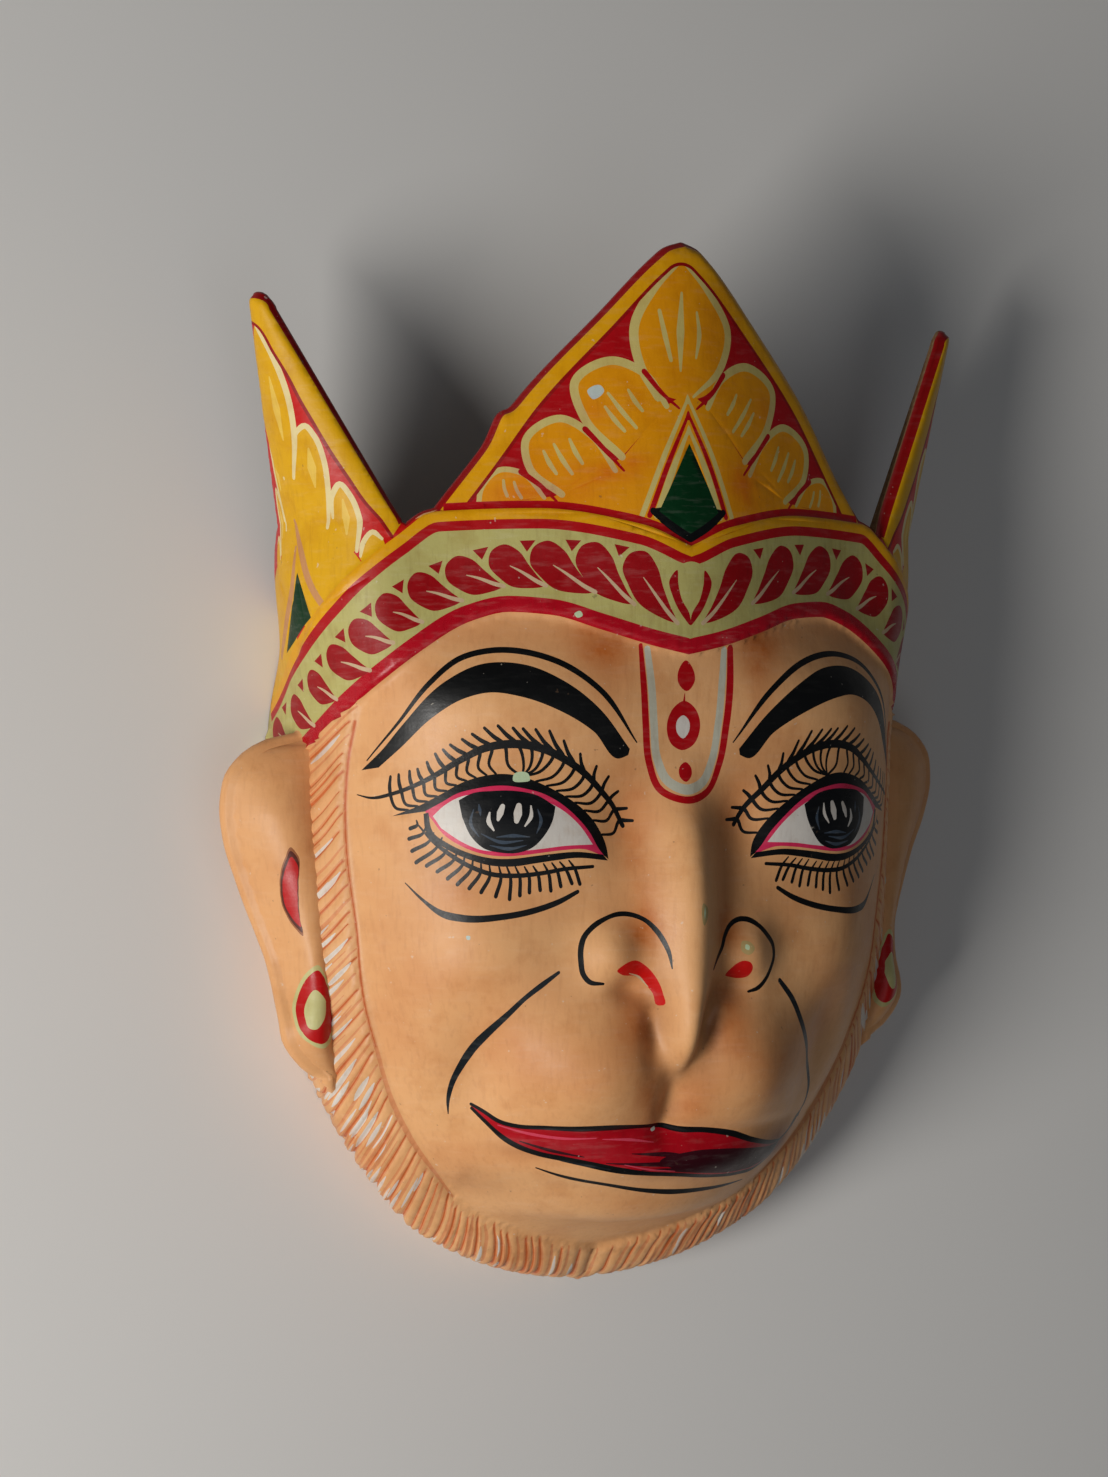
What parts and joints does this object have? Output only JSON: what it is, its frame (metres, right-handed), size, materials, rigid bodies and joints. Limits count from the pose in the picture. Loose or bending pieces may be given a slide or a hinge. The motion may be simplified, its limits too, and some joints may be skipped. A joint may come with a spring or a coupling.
{
  "type": "papier-mache mask",
  "caption": "Hollow papier-mache mask: a monkey-like face with ears and a beard ruff under a three-peaked crown, lying face up on its open rim.",
  "frame": {"origin": "middle of the overall length and width, on the plane of the open rim that the mask lies on", "axes": "+X to the viewer's right, +Y from the chin towards the crown, +Z out of the face"},
  "size_m": [0.2362, 0.3132, 0.0947],
  "materials": {
    "painted_papier_mache": "hand painted, semi-gloss"
  },
  "bodies": {
    "root": {"mask_shell": "painted_papier_mache"}
  },
  "joints": []
}
